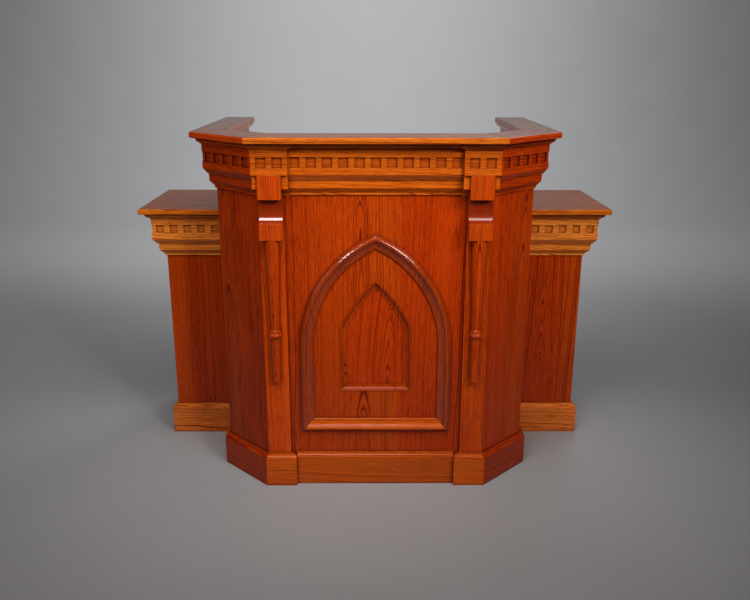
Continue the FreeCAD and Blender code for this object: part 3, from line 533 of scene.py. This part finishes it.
def dress(node):
    """Gives a node its oak and eases its edges."""
    low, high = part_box(node.name)
    hand = "left" if node.name.endswith("left") else "right"
    kind = node.name.removesuffix("_left").removesuffix("_right")
    stain, board, run = PIECES.get(kind, SHELVES)
    light, dark, coat, painted_top_shade_sheen = STAINS[stain]
    seed = chance.uniform(0, SEED_RANGE)
    tone = chance.uniform(1 - TONE_SPREAD, 1 + TONE_SPREAD)
    look = {**board, "Seed": seed, "Light": toned(light, tone), "Dark": toned(dark, tone)}
    if hand == "left" and "Edges" in board:
        look["Edges"] = [-edge for edge in reversed(board["Edges"])]
        for key in BY_LEAF:
            look[key] = board[key][::-1]
        look["Across"] = [-value for value in look["Across"]]
    direction = SLANTS[hand] if run == "slant" else DIRECTIONS[run]
    turn = FACE_TURN.get(kind, 0)
    if kind == "canted_panel" and hand == "left":
        turn = -turn
    middle = (Vector(low) + Vector(high)) * 0.5
    name = f"oak_{node.name}"
    material = oak_material(name, kind, look, coat, painted_top_shade_sheen, direction, turn, middle)
    for slot in node.material_slots:
        slot.material = material
    weld = node.modifiers.new("weld", "WELD")
    weld.merge_threshold = WELD_REACH
    flat = node.modifiers.new("flat", "DECIMATE")
    flat.decimate_type = "DISSOLVE"
    flat.angle_limit = math.radians(FLAT_ANGLE)
    bevel = node.modifiers.new("bevel", "BEVEL")
    bevel.width = RAIL_EASING if kind in RAIL_PIECES else EASING
    bevel.segments = 2
    bevel.limit_method = "ANGLE"
    bevel.angle_limit = math.radians(EDGE_ANGLE)
    smooth = node.modifiers.new("smooth", "WEIGHTED_NORMAL")
    smooth.keep_sharp = True


def make_lamp(name, place, target, size, watts, colour, spread):
    data = bpy.data.lights.new(name, "AREA")
    data.shape = "RECTANGLE"
    data.size, data.size_y = size
    data.energy = watts
    data.color = colour
    data.spread = math.radians(spread)
    lamp = bpy.data.objects.new(name, data)
    lamp.location = place
    aim = Vector(target) - Vector(place)
    lamp.rotation_euler = aim.to_track_quat("-Z", "Y").to_euler()
    scene.collection.objects.link(lamp)


def make_paper():
    """Matt studio paper with a faint mottle."""
    material = bpy.data.materials.new("studio_paper")
    material.use_nodes = True
    g = Graph(material.node_tree)
    shader = material.node_tree.nodes["Principled BSDF"]
    place = g.node("ShaderNodeTexCoord").outputs["Object"]
    spots = [g.times(part, MOTTLE_RATE) for part in g.split(place)]
    mottle = g.noise(g.vector(*spots), 3.0, 0.6)["Fac"]
    lighter = tuple(part * (1 + PAPER_MOTTLE) for part in PAPER) + (1,)
    darker = tuple(part * (1 - PAPER_MOTTLE) for part in PAPER) + (1,)
    g.feed(shader.inputs["Base Color"], g.mix(mottle, lighter, darker))
    g.feed(shader.inputs["Roughness"], PAPER_ROUGH)
    return material


def make_stage():
    """A floor that sweeps up into a backdrop well behind the object."""
    profile = [(-STAGE_REACH, 0.0), (SWEEP_START, 0.0)]
    for i in range(1, SWEEP_STEPS + 1):
        angle = math.radians(90) * i / SWEEP_STEPS
        y = SWEEP_START + SWEEP_RADIUS * math.sin(angle)
        profile.append((y, SWEEP_RADIUS * (1 - math.cos(angle))))
    profile.append((SWEEP_START + SWEEP_RADIUS, BACKDROP_TOP))
    corners = [(x, y, z) for y, z in profile for x in (-STAGE_REACH, STAGE_REACH)]
    faces = [(2 * i, 2 * i + 1, 2 * i + 3, 2 * i + 2) for i in range(len(profile) - 1)]
    mesh = bpy.data.meshes.new("floor")
    mesh.from_pydata(corners, [], faces)
    for face in mesh.polygons:
        face.use_smooth = True
    floor = bpy.data.objects.new("floor", mesh)
    scene.collection.objects.link(floor)
    mesh.materials.append(make_paper())
    scene.world = bpy.data.worlds.new("studio")
    scene.world.use_nodes = True
    g = Graph(scene.world.node_tree)
    seen = g.node("ShaderNodeLightPath").outputs["Is Camera Ray"]
    sky = scene.world.node_tree.nodes["Background"].inputs
    g.feed(sky["Color"], g.mix(seen, WORLD_LIGHT, WORLD_SEEN))
    g.feed(sky["Strength"], 1.0)


make_camera()
make_stage()
for name, settings in LAMPS.items():
    make_lamp(name, *settings)
oak_group = make_oak_group()
for name in sorted(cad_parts):
    dress(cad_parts[name])
